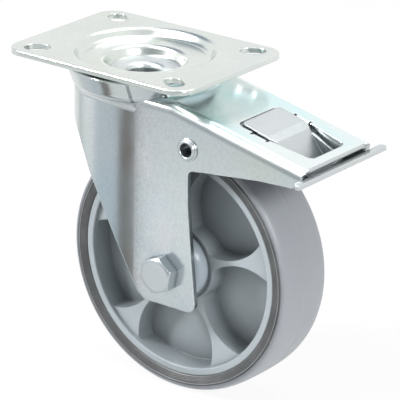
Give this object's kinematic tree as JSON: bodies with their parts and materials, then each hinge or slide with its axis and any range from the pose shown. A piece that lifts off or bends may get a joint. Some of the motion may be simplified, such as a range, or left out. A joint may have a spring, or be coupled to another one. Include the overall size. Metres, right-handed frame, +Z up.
{
  "type": "swivel castor",
  "caption": "Plate-mounted swivel castor with pressed steel fork, soft grey tyre on a ribbed plastic wheel, and a foot pedal that locks wheel and swivel.",
  "frame": {"origin": "centre of the fixing plate's top face, on the swivel axis", "axes": "+Z up out of the plate, +X towards the trailing wheel and the brake pedal, +Y along the wheel's axle away from the bolt head"},
  "size_m": [0.1651, 0.08, 0.157],
  "materials": {
    "zinc_steel": "bright zinc plated",
    "bearing_steel": "ground",
    "cage_plastic": "moulded",
    "rim_plastic": "satin moulded",
    "cap_plastic": "satin moulded",
    "tyre_rubber": "soft matt"
  },
  "bodies": {
    "mount": {"top_plate": "zinc_steel", "king_pin": "zinc_steel", "lower_race": "zinc_steel", "lock_ring": "zinc_steel"},
    "swivel": {"fork": "zinc_steel", "brake_pivot_rivets": "zinc_steel", "pedal_pin": "zinc_steel", "axle_bolt": "zinc_steel", "axle_washer": "zinc_steel", "axle_nut": "zinc_steel", "axle_tube": "zinc_steel", "axle_spacers": "zinc_steel"},
    "upper_bearing": {"upper_balls": "bearing_steel", "ball_cage": "cage_plastic"},
    "lower_bearing": {"lower_balls": "bearing_steel"},
    "wheel": {"wheel_rim": "rim_plastic", "tyre": "tyre_rubber", "hub_caps": "cap_plastic"},
    "wheel_bearing": {"rollers": "bearing_steel", "roller_cage": "cage_plastic"},
    "pedal": {"brake_pedal": "zinc_steel"},
    "lever": {"brake_lever": "zinc_steel", "brake_shoe": "zinc_steel", "lever_rivets": "zinc_steel", "lever_spring": "bearing_steel"}
  },
  "joints": [
    {"name": "swivel_turn", "type": "hinge", "parent": "mount", "child": "swivel", "pos_m": [0, 0, 0], "axis": [0, 0, 1], "continuous": true},
    {"name": "upper_balls_turn", "type": "hinge", "parent": "mount", "child": "upper_bearing", "pos_m": [0, 0, 0], "axis": [0, 0, 1], "continuous": true},
    {"name": "lower_balls_turn", "type": "hinge", "parent": "mount", "child": "lower_bearing", "pos_m": [0, 0, 0], "axis": [0, 0, 1], "continuous": true},
    {"name": "wheel_spin", "type": "hinge", "parent": "swivel", "child": "wheel", "pos_m": [0.033, 0, -0.0945], "axis": [0, 1, 0], "continuous": true},
    {"name": "rollers_turn", "type": "hinge", "parent": "swivel", "child": "wheel_bearing", "pos_m": [0.033, 0, -0.0945], "axis": [0, 1, 0], "continuous": true},
    {"name": "pedal_rock", "type": "hinge", "parent": "swivel", "child": "pedal", "pos_m": [0.0785, 0, -0.02497], "axis": [0, 1, 0], "range_deg": [0, 16]},
    {"name": "lever_press", "type": "hinge", "parent": "swivel", "child": "lever", "pos_m": [0.0464, 0, -0.0312], "axis": [0, 1, 0], "range_deg": [0, 6]}
  ],
  "couplings": [
    {"joint": "upper_balls_turn", "follows": "swivel_turn", "ratio": 0.5},
    {"joint": "lower_balls_turn", "follows": "swivel_turn", "ratio": 0.5},
    {"joint": "rollers_turn", "follows": "wheel_spin", "ratio": 0.5833},
    {"joint": "lever_press", "follows": "pedal_rock", "ratio": 0.375}
  ]
}
